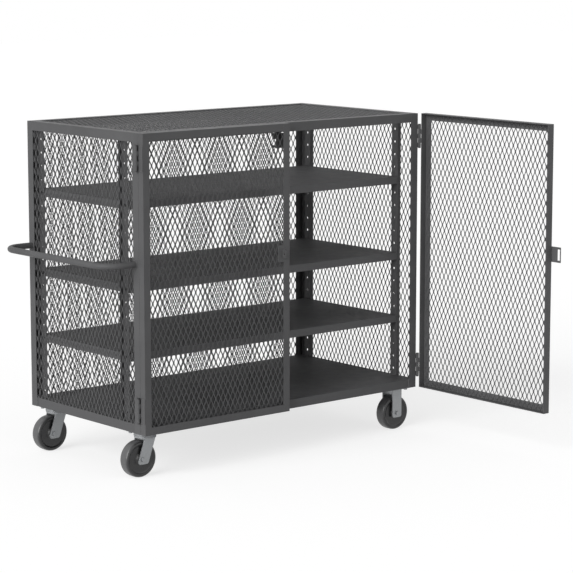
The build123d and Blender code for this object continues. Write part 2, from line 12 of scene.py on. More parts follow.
import bpy
import numpy as np
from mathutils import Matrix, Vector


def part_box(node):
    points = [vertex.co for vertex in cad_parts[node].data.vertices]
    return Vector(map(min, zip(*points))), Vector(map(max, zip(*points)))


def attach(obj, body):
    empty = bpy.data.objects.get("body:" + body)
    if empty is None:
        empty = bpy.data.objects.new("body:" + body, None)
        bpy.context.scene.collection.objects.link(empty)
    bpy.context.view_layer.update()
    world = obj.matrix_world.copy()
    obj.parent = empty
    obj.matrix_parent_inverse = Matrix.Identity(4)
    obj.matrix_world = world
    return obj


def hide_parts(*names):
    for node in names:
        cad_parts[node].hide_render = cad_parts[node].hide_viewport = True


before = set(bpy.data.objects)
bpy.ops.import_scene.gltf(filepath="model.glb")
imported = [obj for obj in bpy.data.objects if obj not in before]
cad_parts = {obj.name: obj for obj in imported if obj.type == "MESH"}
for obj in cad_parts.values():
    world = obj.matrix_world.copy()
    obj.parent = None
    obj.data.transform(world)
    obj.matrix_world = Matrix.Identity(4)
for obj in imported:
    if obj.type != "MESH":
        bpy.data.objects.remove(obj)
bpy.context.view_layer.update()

# %% [markdown]
# ## Units
# The cart was drawn in millimetres and Blender works in metres. Sizes below are
# written in millimetres, as a maker would, and one factor turns them to metres.

# %% Millimetres
MM = 0.001


def box_mm(node):
    """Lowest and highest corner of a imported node, in millimetres, as two arrays."""
    low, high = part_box(node)
    return np.array(low) / MM, np.array(high) / MM


post_low, post_high = box_mm("front_left_post")
print("near post stands at", post_low.round(1), "to", post_high.round(1))

# %% [markdown]
# ## The camera
# The picture is taken from the front left with a long lens, a little above the
# top of the cart. The place, the turn and the focal length came from fitting
# the cart's own corners to the picture. The camera is pitched down rather than
# shifted, so that it keeps the whole cart in frame from any other side too.

# %% Camera
camera_place = (-6.0965, -7.2544, 2.2149)
camera_yaw = 40.26
camera_pitch = -8.915
camera_lens = 143.95

camera_data = bpy.data.cameras.new("camera")
camera_data.lens = camera_lens
camera_data.sensor_width = 36
camera_data.clip_end = 200
camera = bpy.data.objects.new("camera", camera_data)
camera.location = camera_place
camera.rotation_euler = (math.radians(90 + camera_pitch), 0, math.radians(-camera_yaw))
bpy.context.scene.collection.objects.link(camera)
bpy.context.scene.camera = camera
bpy.context.scene.view_settings.view_transform = "Standard"
print("camera", camera_place, "lens", camera_lens)

# %% [markdown]
# ## Colours and shader nodes
# A colour picked from a paint card is an sRGB hex value. Shaders want linear
# light, so one function undoes the sRGB curve. One more function adds a shader
# node, sets its values and links its inputs, and every finish is built with it.

# %% Colour and node helpers
def linear(hex_colour):
    """An sRGB hex colour as linear light.

    Each channel c becomes c / 12.92 up to 0.04045, and ((c + 0.055) / 1.055) ^ 2.4 above it.
    """
    c = np.array([int(hex_colour[i : i + 2], 16) for i in (1, 3, 5)]) / 255
    c = np.where(c <= 0.04045, c / 12.92, ((c + 0.055) / 1.055) ** 2.4)
    return (*c.tolist(), 1.0)


def add(material, kind, inputs=None, links=None, **settings):
    """Adds one shader node, sets its fields and input values, and links inputs to other nodes' outputs."""
    node = material.node_tree.nodes.new("ShaderNode" + kind)
    for field, value in settings.items():
        setattr(node, field, value)
    for name, value in (inputs or {}).items():
        node.inputs[name].default_value = value
    for name, source in (links or {}).items():
        material.node_tree.links.new(source, node.inputs[name])
    return node


def new_finish(name):
    """A new material with an empty node tree."""
    material = bpy.data.materials.new(name)
    material.use_nodes = True
    material.node_tree.nodes.clear()
    return material


print("mid charcoal", [round(v, 3) for v in linear("#4f5052")])

# %% [markdown]
# ## The room
# A studio sweep: a pale floor, an even pale surround and soft light. The key
# light comes from the handle side, because in the picture that end is the
# lightest face, the top comes next and the doors' side is the darkest. A weak
# fill light from the front lifts the doors a little. The surround is plain
# white to the camera and to reflections, and dimmer as a light, so that a
# colour renders about as it is written.

# %% Surround
world = bpy.data.worlds.new("surround")
bpy.context.scene.world = world
world.use_nodes = True
world.node_tree.nodes.clear()
surround_light = 0.42
white = (1, 1, 1, 1)


def seen_directly(tree_owner):
    """1 for rays from the camera, a reflection or a pane of glass, and 0 for rays that only carry light."""
    rays = add(tree_owner, "LightPath").outputs
    seen = rays["Is Camera Ray"]
    for kind in ("Is Glossy Ray", "Is Transmission Ray"):
        seen = add(tree_owner, "Math", links={0: seen, 1: rays[kind]}, operation="MAXIMUM").outputs[0]
    return seen


sky_seen = seen_directly(world)
sky_level = add(world, "MapRange", {"To Min": surround_light, "To Max": 1.0}, {"Value": sky_seen})
sky = add(world, "Background", {"Color": white}, {"Strength": sky_level.outputs[0]})
add(world, "OutputWorld", links={"Surface": sky.outputs[0]})
print("surround lights at", surround_light)

# %% Lamps
def soft_sun(name, towards_lamp, strength, softness):
    """A far lamp: towards_lamp is the direction to it, and softness the angle it fills, in degrees."""
    data = bpy.data.lights.new(name, "SUN")
    data.energy = strength
    data.angle = math.radians(softness)
    lamp = bpy.data.objects.new(name, data)
    x, y, z = towards_lamp
    lamp.rotation_euler = (math.atan2(math.hypot(x, y), z), 0, math.atan2(x, -y))
    bpy.context.scene.collection.objects.link(lamp)
    return lamp


key_lamp = soft_sun("key_lamp", (-0.82, -0.14, 0.38), strength=2.95, softness=45)
fill_lamp = soft_sun("fill_lamp", (0.2, -1.0, 0.1), strength=0.65, softness=60)
for lamp in (key_lamp, fill_lamp):
    print(lamp.name, "shines at", round(lamp.data.energy, 2))

# %% [markdown]
# ## The floor
# A plain pale sheet far larger than the view. As a light it is a pale grey that
# bounces a little up under the cart. To the camera it is part lit surface, so
# that the cart's soft shadow stays on it, and part plain white, so that the lit
# part just reaches the white of the surround and no more: a brighter floor
# would eat into the thin strands of the mesh in front of it.

# %% Floor
floor_reach = 30.0
floor_bounce = "#e6e6e6"
floor_share = 0.36
floor_glow = 0.705
floor_mesh = bpy.data.meshes.new("floor")
corners = np.array([[-1, -1, 0], [1, -1, 0], [1, 1, 0], [-1, 1, 0]]) * floor_reach
floor_mesh.from_pydata(corners.tolist(), [], [[0, 1, 2, 3]])
floor = bpy.data.objects.new("floor", floor_mesh)
bpy.context.scene.collection.objects.link(floor)

floor_finish = new_finish("pale_studio_floor")
floor_seen = seen_directly(floor_finish)
floor_level = add(floor_finish, "MapRange", {"To Min": 0.0, "To Max": floor_glow}, {"Value": floor_seen})
floor_greys = {"Color1": linear(floor_bounce), "Color2": (floor_share, floor_share, floor_share, 1)}
floor_colour = add(floor_finish, "MixRGB", floor_greys, {"Fac": floor_seen})
floor_shader = add(
    floor_finish,
    "BsdfPrincipled",
    {"Roughness": 0.9, "Specular IOR Level": 0.0, "Emission Color": white},
    {"Base Color": floor_colour.outputs[0], "Emission Strength": floor_level.outputs[0]},
)
add(floor_finish, "OutputMaterial", links={"Surface": floor_shader.outputs[0]})
floor_mesh.materials.append(floor_finish)
print("floor reaches", floor_reach, "m")

# %% [markdown]
# ## Powder coat
# The welded body is steel under a baked charcoal powder coat. Powder melts into
# a skin with a faint orange peel and a soft satin sheen. Sharp edges carry thinner
# paint and a painted highlight, which together make them paler. The peel comes
# from fine noise as bump, the slight cloud of tone from coarse noise, and the
# painted edge highlight from comparing the face's own direction with a rounded
# one. The flats that goods are set on, and the sheets that were pulled into mesh,
# have a duller coat than the frame; on the flats, upright faces are painted paler
# than the tops, as painted light.

# %% Powder coat
peel_size = 5 * MM
peel_depth = 0.12 * MM
cloud_size = 260 * MM
scuff_size = 45 * MM
painted_edge_radius = 1.4 * MM


def powder_coat(name, colours, roughness, specular, peel=1.0, painted_light_lip_colour=None):
    """Satin charcoal paint: colours are its tone, the tone of its clouds and that of the painted highlight
    on its sharp edges.

    Peel is the strength of the orange-peel bump, and where a paler colour is given for upright faces, they
    take it as painted light.
    Real peel is 2 to 3 mm across; it is drawn at 5 mm, about a pixel of the picture, so that it shows.
    """
    finish = new_finish(name)
    colour, cloud_colour, edge_highlight_colour = (linear(value) for value in colours)
    place = {"Vector": add(finish, "TexCoord").outputs["Object"]}
    fine = add(finish, "TexNoise", {"Scale": 1 / peel_size, "Detail": 2.0, "Roughness": 0.5}, place)
    cloud = add(finish, "TexNoise", {"Scale": 1 / cloud_size, "Detail": 3.0, "Roughness": 0.6}, place)
    scuff = add(finish, "TexNoise", {"Scale": 1 / scuff_size, "Detail": 6.0, "Roughness": 0.7}, place)
    tone = add(finish, "MapRange", {"From Min": 0.35, "From Max": 0.65}, {"Value": cloud.outputs["Fac"]})
    paint = add(finish, "MixRGB", {"Color1": colour, "Color2": cloud_colour}, {"Fac": tone.outputs[0]})
    rounded = add(finish, "Bevel", {"Radius": painted_edge_radius}, samples=3)
    flat = add(finish, "NewGeometry").outputs["True Normal"]
    # Painted light: upright faces, such as the shelves' lips, are painted paler than the tops.
    if painted_light_lip_colour:
        height = add(finish, "SeparateXYZ", links={0: flat})
        level = add(finish, "Math", links={0: height.outputs["Z"]}, operation="ABSOLUTE")
        upright = add(finish, "MapRange", {"From Min": 0.8, "From Max": 0.4}, {"Value": level.outputs[0]})
        paint = add(
            finish,
            "MixRGB",
            {"Color2": linear(painted_light_lip_colour)},
            {"Fac": upright.outputs[0], "Color1": paint.outputs[0]},
        )
    # Painted highlight: sharp edges, found where the rounded normal leaves the flat one, turn paler.
    agree = add(finish, "VectorMath", links={0: rounded.outputs[0], 1: flat}, operation="DOT_PRODUCT")
    edge = add(
        finish,
        "MapRange",
        {"From Min": 0.995, "From Max": 0.9, "To Max": 0.55},
        {"Value": agree.outputs["Value"]},
    )
    coat = add(
        finish,
        "MixRGB",
        {"Color2": edge_highlight_colour},
        {"Fac": edge.outputs[0], "Color1": paint.outputs[0]},
    )
    sheen = add(
        finish,
        "MapRange",
        {"From Min": 0.3, "From Max": 0.7, "To Min": roughness - 0.06, "To Max": roughness + 0.08},
        {"Value": scuff.outputs["Fac"]},
    )
    bump = add(
        finish,
        "Bump",
        {"Strength": 0.35 * peel, "Distance": peel_depth},
        {"Height": fine.outputs["Fac"], "Normal": rounded.outputs[0]},
    )
    shader = add(
        finish,
        "BsdfPrincipled",
        {"Specular IOR Level": specular, "IOR": 1.5},
        {"Base Color": coat.outputs[0], "Roughness": sheen.outputs[0], "Normal": bump.outputs[0]},
    )
    add(finish, "OutputMaterial", links={"Surface": shader.outputs[0]})
    return finish


# Each coat's three tones (its own, its clouds' and the painted highlight on its edges), its roughness and
# its specular level.
frame_tones = ("#4e4e4f", "#545455", "#6a6a6b")
flat_tones = ("#4d4d4e", "#525253", "#646465")
mesh_tones = ("#4f4f50", "#545455", "#5c5c5d")
frame_coat = powder_coat("charcoal_powder_coat", frame_tones, 0.46, 0.12)
# The last colour given to the shelves and the deck is painted light on their upright lips.
shelf_coat = powder_coat("charcoal_powder_coat_shelves", flat_tones, 0.6, 0.06, painted_light_lip_colour="#5b5b5c")
deck_coat = powder_coat("charcoal_powder_coat_deck", flat_tones, 0.6, 0.06, painted_light_lip_colour="#545455")
mesh_coat = powder_coat("charcoal_powder_coat_mesh", mesh_tones, 0.5, 0.08, peel=0.6)
print("paints", frame_coat.name, shelf_coat.name, deck_coat.name, mesh_coat.name)

# %% [markdown]
# ## Zinc, bare steel and black oxide
# The caster forks and bolts are zinc plated: a pale grey metal with a fine
# cloudy spangle. The rolled lips of the ball races are a duller zinc, the wheel
# bushings bright turned steel, and the slide bolt, hinge pins and shelf bolts
# are blackened with oxide. One recipe makes all four, because the eye knows
# each by a tone and a sheen that wander over small patches.

# %% Plated and blackened metal
metal_edge_radius = 0.8 * MM


def worked_metal(name, colours, spangle, roughness, metallic, bump_height):
    """A metal whose tone and sheen wander between two colours, over patches of the spangle size.

    The spangle and the height of its bump are in millimetres.
    """
    finish = new_finish(name)
    colour, cloud_colour = (linear(value) for value in colours)
    place = {"Vector": add(finish, "TexCoord").outputs["Object"]}
    patches = add(finish, "TexVoronoi", {"Scale": 1 / (spangle * MM)}, place, feature="SMOOTH_F1")
    grain = add(finish, "TexNoise", {"Scale": 1 / (0.4 * spangle * MM), "Detail": 4.0}, place)
    half = add(finish, "Math", {1: 0.5}, {0: patches.outputs["Distance"]}, operation="MULTIPLY")
    wander = add(finish, "Math", links={0: half.outputs[0], 1: grain.outputs["Fac"]}, operation="ADD")
    tone = add(finish, "MapRange", {"From Min": 0.4, "From Max": 1.0}, {"Value": wander.outputs[0]})
    skin = add(finish, "MixRGB", {"Color1": colour, "Color2": cloud_colour}, {"Fac": tone.outputs[0]})
    sheen = add(
        finish,
        "MapRange",
        {"To Min": roughness - 0.07, "To Max": roughness + 0.07},
        {"Value": tone.outputs[0]},
    )
    rounded = add(finish, "Bevel", {"Radius": metal_edge_radius}, samples=3)
    bump = add(
        finish,
        "Bump",
        {"Strength": 0.4, "Distance": bump_height * MM},
        {"Height": grain.outputs["Fac"], "Normal": rounded.outputs[0]},
    )
    shader = add(
        finish,
        "BsdfPrincipled",
        {"Metallic": metallic},
        {"Base Color": skin.outputs[0], "Roughness": sheen.outputs[0], "Normal": bump.outputs[0]},
    )
    add(finish, "OutputMaterial", links={"Surface": shader.outputs[0]})
    return finish


# Each metal's two tones, the size of its spangle, its roughness, its metallic share and its bump.
zinc = worked_metal("zinc_plated_steel", ("#868889", "#929496"), 6, 0.42, 0.85, 0.08)
dull_zinc = worked_metal("dull_zinc_rolled_lips", ("#8a8c8e", "#949698"), 4, 0.62, 0.35, 0.05)
turned_steel = worked_metal("turned_bearing_steel", ("#8c8d8e", "#9a9b9c"), 2, 0.3, 1.0, 0.05)
black_oxide = worked_metal("black_oxide_steel", ("#3a3a3b", "#434344"), 3, 0.45, 0.6, 0.06)
print("metals", zinc.name, dull_zinc.name, turned_steel.name, black_oxide.name)

# %% [markdown]
# ## Wheel plastic
# The wheels are moulded from a hard black phenolic resin filled with cut cloth.
# It has a dull gloss and a faint mottle from the filler. The running tread is
# scuffed rougher than the faces, and painted paler, partly for scuffing and partly
# as a painted highlight. How much each point takes depends on its place on the
# wheel, so the wheel carries that as an attribute of its own.

# %% Phenolic
mottle_size = 4 * MM


def phenolic(name, colours, tread_scuff_and_highlight_colour):
    """Black moulded resin in two tones; a point attribute, 1 on the running tread and 0 on the faces,
    paints the tread paler, as scuffing and a painted highlight, and rougher.
    """
    finish = new_finish(name)
    colour, mottle_colour = (linear(value) for value in colours)
    place = {"Vector": add(finish, "TexCoord").outputs["Object"]}
    mottle = add(finish, "TexNoise", {"Scale": 1 / mottle_size, "Detail": 5.0, "Roughness": 0.65}, place)
    tone = add(finish, "MapRange", {"From Min": 0.4, "From Max": 0.65}, {"Value": mottle.outputs["Fac"]})
    resin = add(finish, "MixRGB", {"Color1": colour, "Color2": mottle_colour}, {"Fac": tone.outputs[0]})
    # The tread is painted paler where the attribute says: partly scuffing, partly a painted highlight.
    wear = add(finish, "Attribute", attribute_name="wear")
    scuff_and_highlight_share = add(finish, "Math", {1: 0.8}, {0: wear.outputs["Fac"]}, operation="MULTIPLY")
    skin = add(
        finish,
        "MixRGB",
        {"Color2": linear(tread_scuff_and_highlight_colour)},
        {"Fac": scuff_and_highlight_share.outputs[0], "Color1": resin.outputs[0]},
    )
    sheen = add(finish, "MapRange", {"To Min": 0.3, "To Max": 0.38}, {"Value": wear.outputs["Fac"]})
    bump = add(finish, "Bump", {"Strength": 0.25, "Distance": 0.1 * MM}, {"Height": mottle.outputs["Fac"]})
    shader = add(
        finish,
        "BsdfPrincipled",
        {"Specular IOR Level": 0.5, "IOR": 1.5},
        {"Base Color": skin.outputs[0], "Roughness": sheen.outputs[0], "Normal": bump.outputs[0]},
    )
    add(finish, "OutputMaterial", links={"Surface": shader.outputs[0]})
    return finish


# The tread colour is partly scuffing and partly a painted highlight.
wheel_resin = phenolic("black_phenolic_resin", ("#1a1a1b", "#222223"), tread_scuff_and_highlight_colour="#565657")
print("wheel finish", wheel_resin.name)

# %% [markdown]
# ## Finishes on the welded parts
# The imported parts keep their shape and only get the finishes above. The record
# names each part's material slot, so the slot says which finish it takes; the
# shelves and the deck take the duller coats, whose upright lips are painted
# paler than their tops, as painted light.

# %% Dress the imported parts
slot_finishes = {
    "frame_paint": frame_coat,
    "mesh_paint": frame_coat,
    "zinc_plate": zinc,
    "dark_steel": black_oxide,
    "bearing_steel": turned_steel,
    "wheel_phenolic": wheel_resin,
}
flat_finishes = {
    "base_deck": deck_coat,
    "lower_shelf": shelf_coat,
    "middle_shelf": shelf_coat,
    "upper_shelf": shelf_coat,
}
for name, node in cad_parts.items():
    for part_slot in node.material_slots:
        slot_name = part_slot.material.name.split(".")[0]
        part_slot.material = flat_finishes.get(name, slot_finishes[slot_name])
print("dressed", len(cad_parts), "parts")

# %% [markdown]
# ## Making a piece
# Each new piece is one array of points and one array of four-cornered faces,
# worked out as whole arrays. Points that fall on each other are merged, so that
# seams and poles close, and faces that lost an edge there become triangles.

# %% Piece helper
merge_digits = 3


def make_piece(name, points, faces, finish, body, replaced=(), smooth=False, wear=None):
    """Puts points (in millimetres) and quads into a mesh object that rides on a body of the cart.

    Points that are the same to merge_digits digits are merged, and a face drops a corner that repeats.
    """
    rounded = np.round(points, merge_digits)
    _, keep, where = np.unique(rounded, axis=0, return_index=True, return_inverse=True)
    quads = where.reshape(-1)[faces]
    doubled = quads == np.roll(quads, 1, axis=1)
    has_area = doubled.sum(1) < 2
    quads, doubled = quads[has_area], doubled[has_area]
    corners = 4 - doubled.sum(1)
    mesh = bpy.data.meshes.new(name)
    mesh.vertices.add(len(keep))
    mesh.vertices.foreach_set("co", (points[keep] * MM).astype(np.float32).ravel())
    mesh.loops.add(int(corners.sum()))
    mesh.loops.foreach_set("vertex_index", quads[~doubled].astype(np.int32))
    mesh.polygons.add(len(corners))
    mesh.polygons.foreach_set("loop_start", np.concatenate([[0], np.cumsum(corners)[:-1]]).astype(np.int32))
    mesh.polygons.foreach_set("use_smooth", np.full(len(corners), smooth))
    # A share for each point that paints the wheel's tread paler, as scuffing and a painted highlight, and
    # rougher.
    if wear is not None:
        scuff_and_highlight_values = wear[keep].astype(np.float32)
        mesh.attributes.new("wear", "FLOAT", "POINT").data.foreach_set("value", scuff_and_highlight_values)
    mesh.update(calc_edges=True)
    mesh.validate()
    mesh.materials.append(finish)
    piece = bpy.data.objects.new(name, mesh)
    bpy.context.scene.collection.objects.link(piece)
    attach(piece, body)
    if replaced:
        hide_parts(*replaced)
    print(name, len(keep), "points", len(corners), "faces")


print("points within", 10**-merge_digits, "mm become one")

# %% [markdown]
# ## Expanded metal
# The mesh is flattened expanded steel: a sheet is slit in staggered rows and
# pulled sideways, so the slits open into diamonds. Where two slits nearly meet,
# the sheet stays whole as a bond twice as wide as a strand. A picture of
# diamonds on a plane would look flat from the side and let no light through, so
# every strand is real metal here. The sheet is laid out as small tiles, each a
# quarter of a diamond: one strand crosses it from the bond in one corner to the
# bond in the opposite corner, and every second tile is mirrored.

# %% Diamond mesh
short_way = 25.6
long_way = 50.8
bond_half = 3.5
bond_flat = 4.0
sheet_thickness = 1.8


def strand_tile(half_short, half_long):
    """One strand in a tile half_short wide and half_long high, as 16 points and 14 quads.

    Four stations run from the bond at the lower right to the bond at the upper left. At each,
    edge A faces the opening at the lower left and edge B the opening at the upper right:
    A is (w - b, 0), (w - b, q), (0, h - q), (0, h) and B is A moved by (b, 0), where w and h
    are the tile's sides, b is half a bond's width and q its straight stretch. The last four
    quads are the walls where the strand meets other tiles: right, left, below and above.
    """
    slope_start, slope_end = half_short - bond_half, half_long - bond_flat
    a = np.array([[slope_start, 0], [slope_start, bond_flat], [0, slope_end], [0, half_long]])
    edges = np.stack([a, a + [bond_half, 0]], axis=1)
    points = np.zeros((4, 2, 2, 3))
    points[..., :2] = edges[:, :, None, :]
    points[..., 0, 2] = sheet_thickness / 2
    points[..., 1, 2] = -sheet_thickness / 2
    k = 4 * np.arange(3)[:, None]
    front = k + [0, 2, 6, 4]
    back = k + [1, 5, 7, 3]
    side_a = k + [0, 4, 5, 1]
    side_b = k + [2, 3, 7, 6]
    meeting = [side_b[:1], side_a[2:], [[0, 1, 3, 2], [12, 14, 15, 13]]]
    return points.reshape(16, 3), np.concatenate([front, back, side_a[:2], side_b[1:], *meeting])


def diamond_sheet(width, height, half_short, half_long, first):
    """Points and quads of a sheet of tiles centred on zero.

    Tile (i, j) is moved by i tile widths and j tile heights, and mirrored where i + j + first is odd.
    The walls where two tiles meet are left out, and kept only along the sheet's own edges.
    """
    slack = 0.01  # keeps a whole number of tiles whole when the division comes out a hair short
    columns, rows = int(width / half_short + slack), int(height / half_long + slack)
    tile, quads = strand_tile(half_short, half_long)
    i, j = (g.ravel() for g in np.meshgrid(np.arange(columns), np.arange(rows), indexing="ij"))
    odd = (i + j + first) % 2 == 1
    points = np.repeat(tile[None], len(i), axis=0)
    points[odd, :, 0] = half_short - points[odd, :, 0]
    points[..., 0] += (i * half_short - columns * half_short / 2)[:, None]
    points[..., 1] += (j * half_long - rows * half_long / 2)[:, None]
    first_points = len(tile) * np.arange(len(i))[:, None, None]
    faces = np.where(odd[:, None, None], quads[None, :, ::-1], quads[None]) + first_points
    kept = np.ones((len(i), len(quads)), bool)
    at_left, at_right = i == 0, i == columns - 1
    kept[:, -4] = np.where(odd, at_left, at_right)
    kept[:, -3] = np.where(odd, at_right, at_left)
    kept[:, -2] = j == 0
    kept[:, -1] = j == rows - 1
    return points.reshape(-1, 3), faces[kept]


strand_lean = math.atan2(short_way / 2 - bond_half, long_way / 2 - 2 * bond_flat)
print("a strand is", round(bond_half * math.cos(strand_lean), 2), "mm wide and a bond", 2 * bond_half, "mm")

# %% [markdown]
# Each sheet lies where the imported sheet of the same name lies, in its plane and
# inside its edges, which the angles hold. The long way of the diamonds stands
# upright on the walls and doors and runs across the cart on the top. The shut
# door's sheet is set a little aside, so that its diamonds fall as in the picture.

# %% Mesh panels
left_door_shift = -1.8


def mesh_panel(node, body, across, along, shift=0.0, first=0):
    """Lays a diamond sheet over a packed sheet, and takes its place.

    across and along are the axes (0 x, 1 y, 2 z) of the diamonds' short and long ways, and shift
    moves the sheet across. The long way is stretched so that whole tiles fill the sheet's height.
    """
    low, high = box_mm(node)
    size, middle = high - low, (high + low) / 2
    half_long = size[along] / int(size[along] / (long_way / 2) + 0.5)
    flat, faces = diamond_sheet(size[across] - 2 * abs(shift), size[along], short_way / 2, half_long, first)
    across_axis, along_axis = np.eye(3)[across], np.eye(3)[along]
    out_axis = np.cross(across_axis, along_axis)
    points = middle + np.outer(flat[:, 0] + shift, across_axis) + np.outer(flat[:, 1], along_axis)
    points = points + np.outer(flat[:, 2], out_axis)
    name = node.replace("_mesh", "_diamond_mesh")
    make_piece(name, points, faces, mesh_coat, body, replaced=(node,))


mesh_panel("left_end_mesh", "cart", across=1, along=2)
mesh_panel("right_end_mesh", "cart", across=1, along=2)
mesh_panel("rear_mesh", "cart", across=0, along=2)
mesh_panel("top_mesh", "cart", across=0, along=1)
mesh_panel("left_door_mesh", "left_door", across=0, along=2, shift=left_door_shift, first=1)
mesh_panel("right_door_mesh", "right_door", across=1, along=2)

# %% [markdown]
# ## Moulded wheels
# A phenolic wheel is pressed in a two-part mould: a crowned tread with soft
# shoulders, a rim, a sunk web on each face and a hub boss round the bushing. It
# could be built from stacked cylinders, but a turned profile gives every
# shoulder its soft run in one piece, as the mould does. The wheel also carries
# a share for each point: the middle of the tread is scuffed and takes a painted
# highlight, the faces take neither.

# %% Turned forms
def soft_profile(corners, before, after, steps=7):
    """A closed profile with soft corners, as points in order.

    Each corner C turns into the parabola (1 - s)^2 A + 2 s (1 - s) C + s^2 B, where A lies on the
    side before it and B on the side after it, at the given distances from C.
    """
    corners = np.array(corners, float)
    back, ahead = np.roll(corners, 1, axis=0) - corners, np.roll(corners, -1, axis=0) - corners
    a = corners + back * (np.array(before) / np.hypot(*back.T))[:, None]
    b = corners + ahead * (np.array(after) / np.hypot(*ahead.T))[:, None]
    s = np.linspace(0, 1, steps)[:, None]
    curves = (1 - s) ** 2 * a[:, None] + 2 * s * (1 - s) * corners[:, None] + s**2 * b[:, None]
    return curves.reshape(-1, 2)


def grid_quads(rows, columns, closed=True):
    """Quads of a grid that closes on itself along its columns, and along its rows too if closed."""
    i, j = np.meshgrid(np.arange(rows if closed else rows - 1), np.arange(columns), indexing="ij")
    i, j = i.ravel(), j.ravel()
    here, there, j_next = i * columns, (i + 1) % rows * columns, (j + 1) % columns
    return np.stack([here + j, there + j, there + j_next, here + j_next], axis=1)


def turned(profile, centre, axis, segments):
    """A profile of (radius r, height) points turned round an axis.

    At the angle t a point lies at r cos t and r sin t across the axis, and at its height along it.
    """
    t = np.arange(segments) * 2 * np.pi / segments
    along, u, v = np.eye(3)[axis], np.eye(3)[(axis + 1) % 3], np.eye(3)[(axis + 2) % 3]
    spokes = np.outer(np.cos(t), u) + np.outer(np.sin(t), v)
    points = centre + spokes[:, None] * profile[None, :, :1] + along * profile[None, :, 1:]
    return points.reshape(-1, 3), grid_quads(segments, len(profile))


print("a closed ring of 4 by 3 points has", len(grid_quads(4, 3)), "quads")

# %% Wheels
tread_radius = 76.19
bore_radius = 11.05
hub_half = 27.25
rim_half = 25.4
web_half = 20.6
tread_reach_on_face = 11.0
scuff_and_highlight_radius, scuff_and_highlight_rise = 66, 8
scuff_and_highlight_half, scuff_and_highlight_fade = 27, 12
wheel_segments = 120

# Each corner of a face: its radius, its height off the wheel's middle, and the reach of its soft curve.
face_table = np.array(
    [
        [bore_radius, hub_half, 0.8],  # mouth of the bore
        [20.5, hub_half, 2.0],  # edge of the hub
        [25.0, 21.8, 1.4],  # foot of the hub
        [28.0, web_half, 1.4],  # inner end of the web
        [55.0, web_half, 2.0],  # outer end of the web
        [59.0, 22.0, 1.2],  # foot of the rim
        [62.5, rim_half, 1.4],  # edge of the rim
        [tread_radius, rim_half, 16.0],  # shoulder of the tread
    ]
)
face_corners, face_reach = face_table[:, :2], face_table[:, 2]


def wheel_profile():
    """The front face from bore to tread, then the rear face back again: radius against width."""
    front, rear = face_corners * [1, -1], face_corners[::-1]
    before = np.concatenate([face_reach[:-1], [tread_reach_on_face], face_reach[::-1]])
    after = np.concatenate([face_reach, [tread_reach_on_face], face_reach[-2::-1]])
    return soft_profile(np.concatenate([front, rear]), before, after)


# The share of scuffing and painted highlight rises outwards past one radius and inwards from one half
# width, and is the product of the two.
profile = wheel_profile()
scuff_and_highlight_outwards = np.clip((profile[:, 0] - scuff_and_highlight_radius) / scuff_and_highlight_rise, 0, 1)
scuff_and_highlight_inwards = np.clip((scuff_and_highlight_half - np.abs(profile[:, 1])) / scuff_and_highlight_fade, 0, 1)
wear = np.tile(scuff_and_highlight_outwards * scuff_and_highlight_inwards, wheel_segments)
for corner in ("front_left", "rear_left", "front_right", "rear_right"):
    wheel = corner + "_wheel"
    low, high = box_mm(wheel)
    points, faces = turned(profile, (low + high) / 2, 1, wheel_segments)
    name = corner + "_moulded_wheel"
    make_piece(name, points, faces, wheel_resin, wheel, (wheel,), smooth=True, wear=wear)

# %% [markdown]
# ## Ball races
# A swivel caster turns on balls between two pressed cups. Only their rolled
# lips show: one round the raceway under the top plate, and one round the crown
# of the fork below it. Each is a small closed profile turned about the kingpin.

# %% Rolled lips
lip_reach = 0.45
lip_segments = 96
# The corners of each lip: a radius from the kingpin and a height over the floor.
race_lip = [
    [45.2, 169.3],
    [46.2, 169.3],
    [47.4, 171.0],
    [46.0, 175.0],
    [46.0, 179.0],
    [47.4, 182.6],
    [46.4, 184.0],
    [45.2, 184.0],
]
crown_lip = [[43.6, 160.8], [44.6, 160.8], [45.8, 164.6], [44.8, 168.4], [43.6, 168.4]]
for corner in ("front_left", "rear_left"):
    low, high = box_mm(corner + "_caster_plate")
    middle = np.array([(low[0] + high[0]) / 2, (low[1] + high[1]) / 2, 0])
    lips = (("_race_lip", race_lip, "cart"), ("_crown_lip", crown_lip, corner + "_swivel"))
    for name, corners, body in lips:
        reach = np.full(len(corners), lip_reach)
        points, faces = turned(soft_profile(corners, reach, reach, steps=4), middle, 2, lip_segments)
        make_piece(corner + name, points, faces, dull_zinc, body, smooth=True)

# %% [markdown]
# ## Weld beads
# The angles, the deck, the hinge leaves and the handle are joined by short
# fillet welds under the paint. A bead fills an inside corner with a bulging
# quarter-round and has ripples where the pool froze step by step. Each is a
# section carried along its corner and drawn in to a point at both ends.

# %% Beads
bead_ripple = 2.6
stations_per_ripple = 4
root = [-0.12, -0.12]
section_angle = np.linspace(0, np.pi / 2, 5)
section_arc = np.stack([np.cos(section_angle), np.sin(section_angle)], axis=1)
section_parts = np.concatenate([section_arc, [root]])


